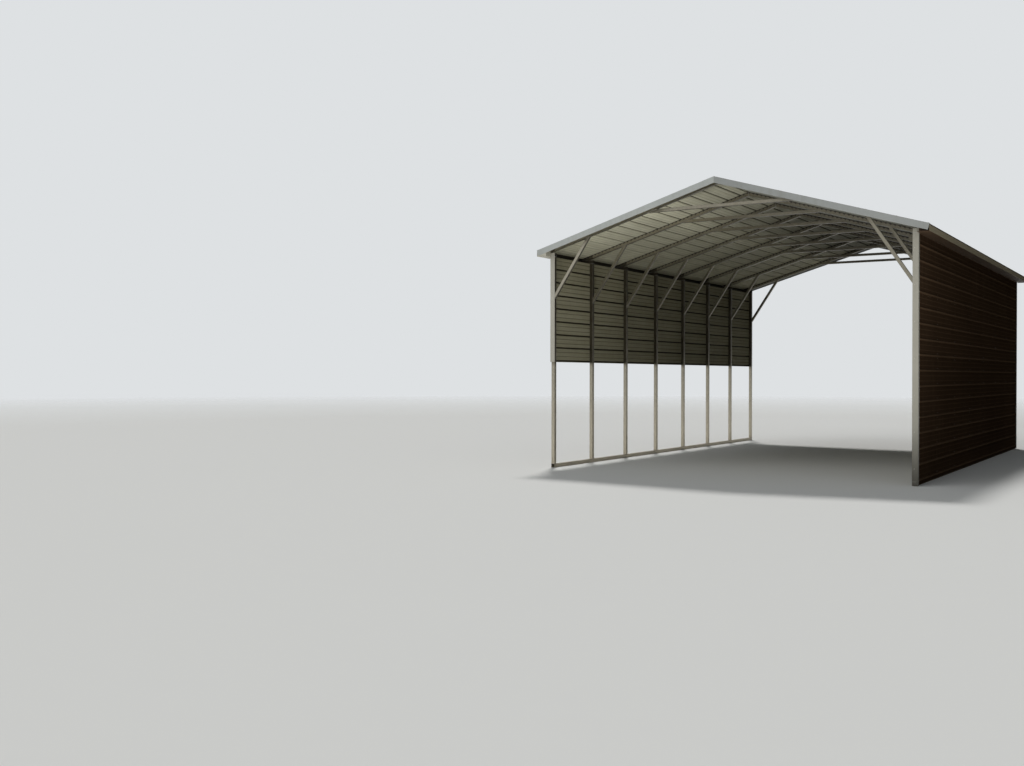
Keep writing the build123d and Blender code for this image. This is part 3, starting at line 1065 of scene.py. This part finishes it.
bead_faces = grid_faces(bead_steps, bead_around, wrap_rows=True, wrap_columns=True)[:, ::-1]
print("bead faces:", len(bead_faces))

# %% [markdown]
# **The zinc paint** is flat and bright against the weathered tube, with brown rust coming through
# on the high spots of the ripples.

# %% Weld finish
def weld_finish():
    material, place, _ = start_finish("zinc_painted_weld")
    lumps = noise(place, 220.0, detail=4.0, rough=0.6)
    rust = remap(noise(place, 35.0, detail=5.0, rough=0.7), 0.52, 0.66, 0.0, 0.8)
    paint = mix(lumps, shade(150, 149, 144), shade(186, 185, 181))
    colour = mix(rust, paint, shade(106, 70, 44))
    rough = calc("MULTIPLY_ADD", rust, 0.3, 0.5)
    metal = remap(rust, 0.0, 0.5, 0.4, 0.0)
    finish_material({"Base Color": colour, "Roughness": rough, "Metallic": metal}, product(lumps, 0.0008))
    return material


weld_material = weld_finish()

# %% Place the beads
tube_half, brace_half, brace_corner = 0.03175, 0.0254, 0.004
clear_of_wall = 3.0479
return_middle, return_half = 3.165, 0.0745
brace_drop, brace_run, tie_drop = 0.685, 0.645, 0.3455
return_top = eave + 2.0 * tube_half
rafter_under = apex - 2.0 * tube_half * slope_length
brace_foot = (post_x - tube_half, eave - brace_drop)
head_x = brace_foot[0] - brace_run
brace_head = (head_x, rafter_under - roof_pitch * head_x)
tie_end = (tie_drop / roof_pitch, rafter_under - tie_drop)

rise = brace_head[1] - brace_foot[1]
brace_length = math.hypot(brace_run, rise)
foot_half = brace_half * brace_length / brace_run
head_half_cut = brace_half * brace_length / (rise * slope_cos - brace_run * slope_sin)
tie_half_cut = brace_half / slope_sin
x_axis, y_axis, z_axis = np.identity(3)
print("a brace's cuts are", round(2.0 * foot_half, 3), "and", round(2.0 * head_half_cut, 3), "long")


def frame_beads(row):
    """All beads of one frame. Outside the posts lie the walls, so there the weld is cut flush."""
    ridge_half = (apex - rafter_under) / 2.0
    loops = [bead((0.0, row, apex - ridge_half), z_axis, y_axis, ridge_half, tube_half)]
    for sign in (1.0, -1.0):
        downhill = np.array([sign * slope_cos, 0.0, -slope_sin])
        for height in (2.0 * tube_half, eave):
            foot = bead((sign * post_x, row, height), x_axis, y_axis, tube_half, tube_half)
            foot[:, 0] = np.clip(foot[:, 0], -clear_of_wall, clear_of_wall)
            loops.append(foot)
        loops.append(bead((sign * return_middle, row, return_top), x_axis, y_axis, return_half, tube_half))
        cuts = ((brace_foot, z_axis, foot_half), (brace_head, downhill, head_half_cut),
                (tie_end, downhill, tie_half_cut))
        for (x, z), along, half in cuts:
            loops.append(bead((sign * x, row, z), along, y_axis, half, brace_half, brace_corner))
    return loops


for number, row in enumerate(frame_rows, start=1):
    loops = frame_beads(row)
    shift = (np.arange(len(loops)) * bead_steps * bead_around)[:, None, None]
    piece = make_object(f"frame_{number}_welds", np.concatenate(loops),
                        [(bead_faces[None] + shift).reshape(-1, 4)], weld_material, smooth=True)
    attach(piece, "root")
print("welds on", len(frame_rows), "frames,", len(loops), "beads each")
